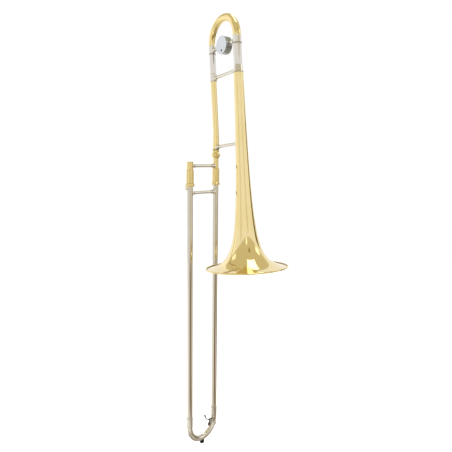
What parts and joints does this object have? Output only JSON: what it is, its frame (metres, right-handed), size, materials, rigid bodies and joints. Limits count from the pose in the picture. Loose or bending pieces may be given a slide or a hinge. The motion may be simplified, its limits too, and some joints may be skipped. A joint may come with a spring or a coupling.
{
  "type": "trombone",
  "caption": "Straight tenor trombone: flared bell section, tuning slide with counterweight, hand slide with braces, slide lock, bell nut and sprung water key.",
  "frame": {"origin": "centre of the mouthpiece receiver's mouth", "axes": "+Z out of the mouthpiece receiver, along the hand slide; +X from the mouthpiece-side tube to the bell-side tube; the bell stands out towards -Y, mouth down"},
  "size_m": [0.204, 0.2654, 1.1252],
  "materials": {
    "lacquered_brass": "polished, clear lacquer",
    "nickel_silver": "polished nickel silver, clear lacquer",
    "chrome_plate": "bright plate",
    "black_rubber": "matt",
    "felt": "pressed felt",
    "cork": "natural cork",
    "spring_steel": "bright steel"
  },
  "bodies": {
    "bell_section": {"neck_receiver": "lacquered_brass", "neckpipe": "lacquered_brass", "neck_ferrule": "nickel_silver", "neck_side_sleeve": "nickel_silver", "bell": "lacquered_brass", "bell_rim_wire": "spring_steel", "bell_ferrule": "nickel_silver", "bell_side_sleeve": "nickel_silver", "upper_bell_brace": "nickel_silver", "lower_bell_brace": "nickel_silver", "bell_brace_flanges": "nickel_silver"},
    "tuning_slide": {"neck_side_tuning_leg": "nickel_silver", "bell_side_tuning_leg": "nickel_silver", "neck_side_tuning_ferrule": "nickel_silver", "bell_side_tuning_ferrule": "nickel_silver", "tuning_bow": "lacquered_brass", "tuning_brace": "nickel_silver", "tuning_brace_flanges": "nickel_silver", "counterweight_front": "chrome_plate", "counterweight_back": "chrome_plate", "counterweight_screw": "spring_steel"},
    "inner_slide": {"mouthpiece_receiver": "lacquered_brass", "leadpipe": "lacquered_brass", "upper_inner_tube": "chrome_plate", "lower_inner_tube": "chrome_plate", "upper_stocking": "chrome_plate", "lower_stocking": "chrome_plate", "upper_cork_barrel": "lacquered_brass", "lower_cork_barrel": "lacquered_brass", "upper_barrel_felt": "felt", "lower_barrel_felt": "felt", "inner_slide_brace": "nickel_silver", "inner_brace_flanges": "nickel_silver", "slide_tenon": "lacquered_brass"},
    "lock_nut": {"bell_lock_nut": "lacquered_brass"},
    "lock_ring": {"slide_lock_ring": "lacquered_brass"},
    "outer_slide": {"upper_outer_tube": "nickel_silver", "lower_outer_tube": "nickel_silver", "outer_slide_brace": "nickel_silver", "outer_brace_saddles": "nickel_silver", "slide_lock_lug": "nickel_silver", "bow_ferrules": "nickel_silver", "slide_bow": "nickel_silver", "bow_guard": "nickel_silver", "bumper_stud": "nickel_silver", "rubber_bumper": "black_rubber", "water_key_saddle": "nickel_silver", "water_key_nipple": "nickel_silver", "water_key_screw": "spring_steel", "water_key_spring": "spring_steel"},
    "water_key": {"water_key_lever": "nickel_silver", "water_key_cork": "cork"}
  },
  "joints": [
    {"name": "tuning_slide_pull", "type": "slide", "parent": "bell_section", "child": "tuning_slide", "axis": [0.015, 0.0954, 0.9953], "range_m": [0, 0.045]},
    {"name": "slide_swivel", "type": "hinge", "parent": "bell_section", "child": "inner_slide", "pos_m": [0.088, 0, 0.045], "axis": [0, 0, 1], "range_deg": [-45, 20]},
    {"name": "lock_nut_turn", "type": "hinge", "parent": "inner_slide", "child": "lock_nut", "pos_m": [0.088, 0, 0.0167], "axis": [0, 0, 1], "continuous": true},
    {"name": "lock_ring_turn", "type": "hinge", "parent": "inner_slide", "child": "lock_ring", "pos_m": [0, 0, -0.057], "axis": [0, 0, 1], "range_deg": [0, 25]},
    {"name": "hand_slide", "type": "slide", "parent": "inner_slide", "child": "outer_slide", "axis": [0, 0, -1], "range_m": [0, 0.58]},
    {"name": "water_key_press", "type": "hinge", "parent": "outer_slide", "child": "water_key", "pos_m": [0.07502, 0, -0.71363], "axis": [0, 1, 0], "range_deg": [0, 15], "stiffness_Nm_per_rad": 0.03, "springref_deg": -20.05}
  ]
}
